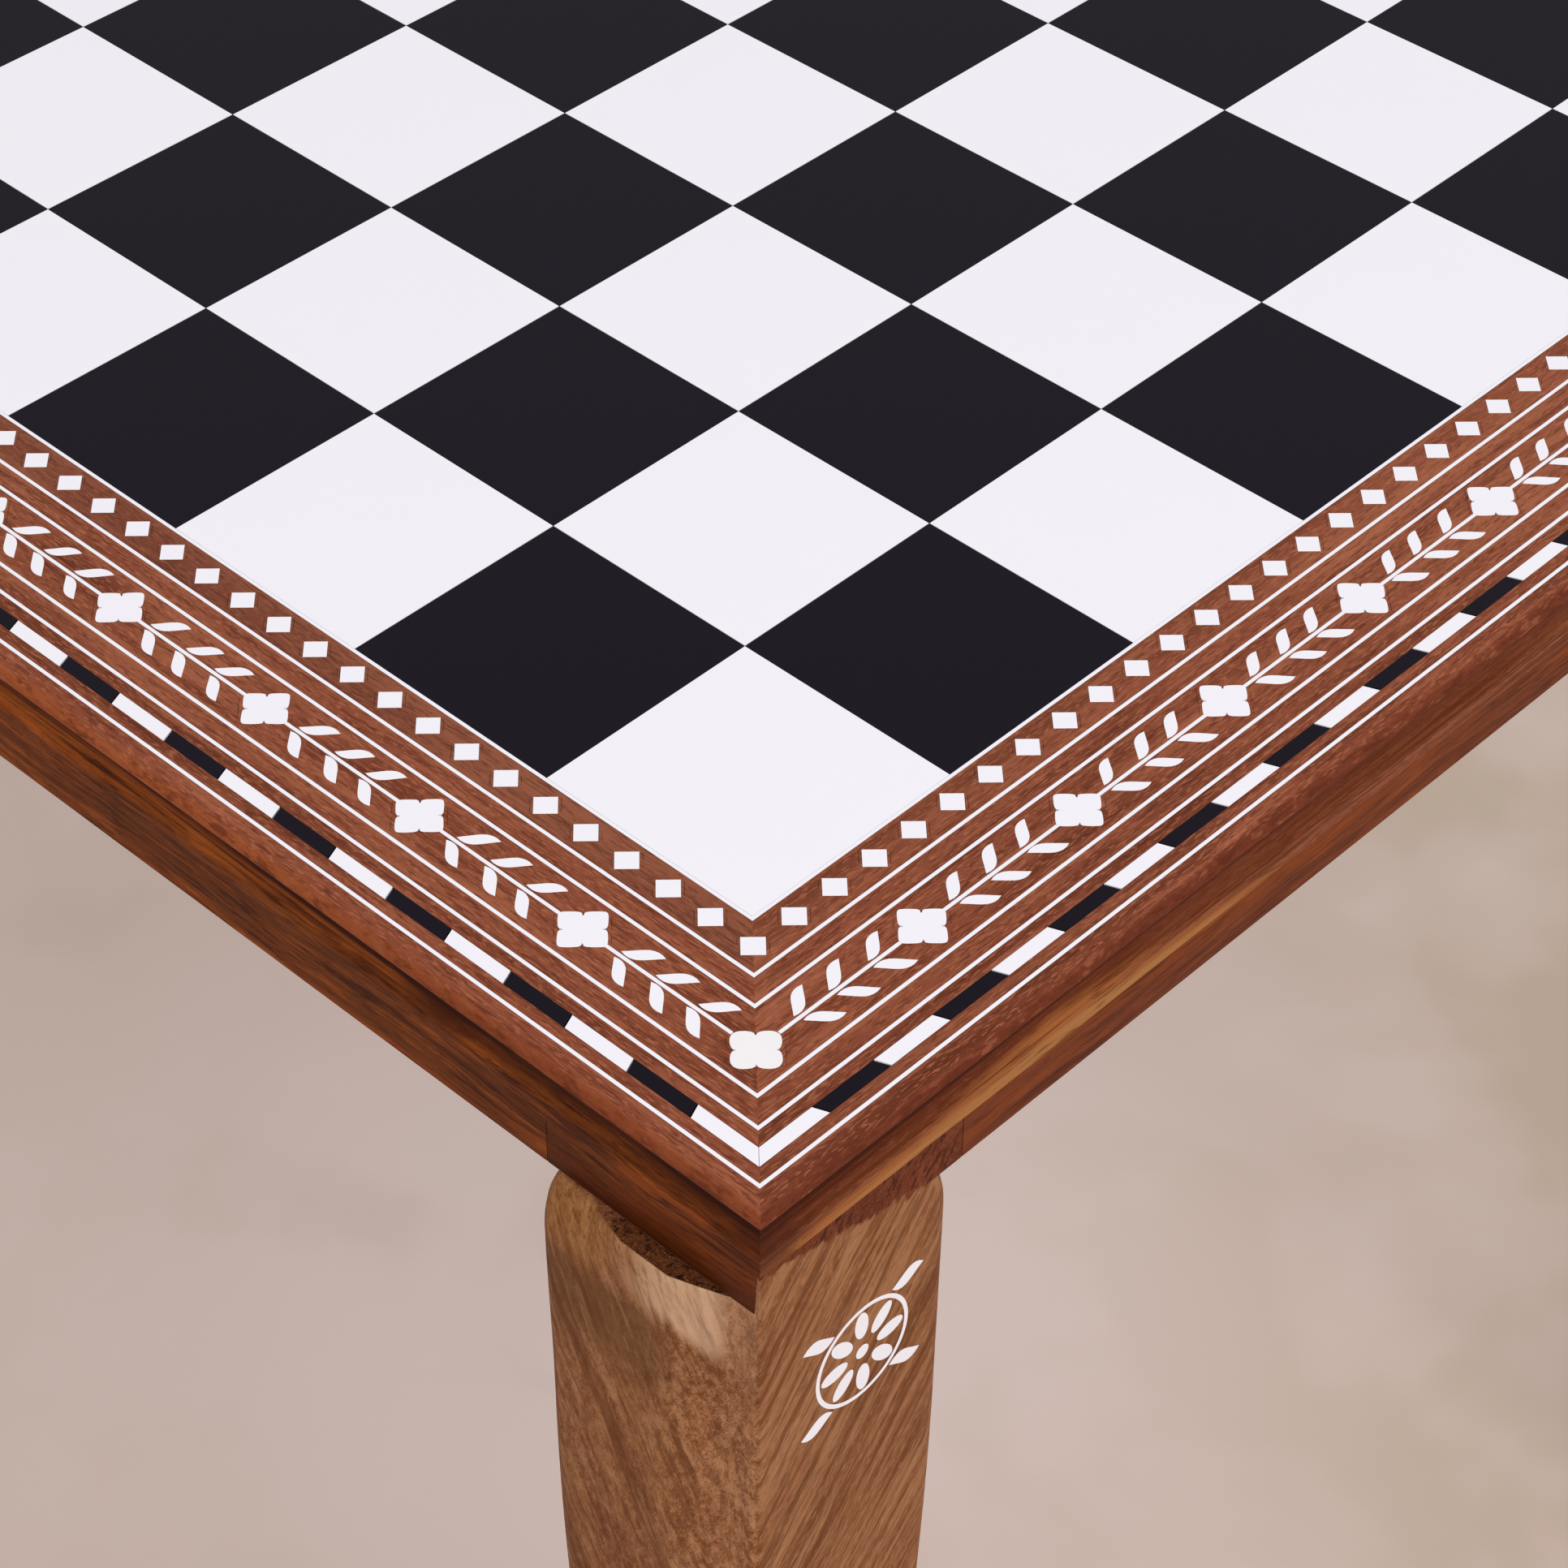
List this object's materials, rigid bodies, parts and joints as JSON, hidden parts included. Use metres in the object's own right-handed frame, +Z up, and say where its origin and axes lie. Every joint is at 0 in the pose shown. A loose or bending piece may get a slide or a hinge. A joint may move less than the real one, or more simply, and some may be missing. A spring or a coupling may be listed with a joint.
{
  "type": "chess table",
  "caption": "Square wooden chess table: flush chequered board in a mitred border inlaid with diamonds, a flowering vine and dashes, low apron, four curved legs.",
  "frame": {"origin": "on the floor, under the middle of the board", "axes": "+Z up; X and Y along the sides of the board; the inlaid flat faces of the legs look along -Y and +Y"},
  "size_m": [0.5516, 0.545, 0.61],
  "materials": {
    "border_wood": "oiled sheesham, fine pores, satin",
    "apron_wood": "oiled sheesham, satin",
    "leg_wood": "oiled sheesham with paler sapwood, satin",
    "brace_wood": "plain sawn hardwood",
    "plywood": "plain plywood",
    "white_inlay": "polished white resin inlay",
    "black_inlay": "polished black resin inlay",
    "felt": "brown felt"
  },
  "bodies": {
    "root": {"apron_back": "apron_wood", "apron_front": "apron_wood", "apron_left": "apron_wood", "apron_right": "apron_wood", "black_dashes": "black_inlay", "black_squares": "black_inlay", "board_edge_line": "white_inlay", "board_panel": "plywood", "border_rail_back": "border_wood", "border_rail_front": "border_wood", "border_rail_left": "border_wood", "border_rail_right": "border_wood", "corner_brace_back_left": "brace_wood", "corner_brace_back_right": "brace_wood", "corner_brace_front_left": "brace_wood", "corner_brace_front_right": "brace_wood", "foot_glide_back_left": "felt", "foot_glide_back_right": "felt", "foot_glide_front_left": "felt", "foot_glide_front_right": "felt", "inlay_diamonds": "white_inlay", "inlay_line_1": "white_inlay", "inlay_line_2": "white_inlay", "inlay_line_3": "white_inlay", "inlay_line_4": "white_inlay", "inlay_line_5": "white_inlay", "leg_back_left": "leg_wood", "leg_back_right": "leg_wood", "leg_front_left": "leg_wood", "leg_front_right": "leg_wood", "mitre_splines": "brace_wood", "vine_flowers": "white_inlay", "vine_stems": "white_inlay", "white_dashes": "white_inlay", "white_squares": "white_inlay"}
  },
  "joints": []
}
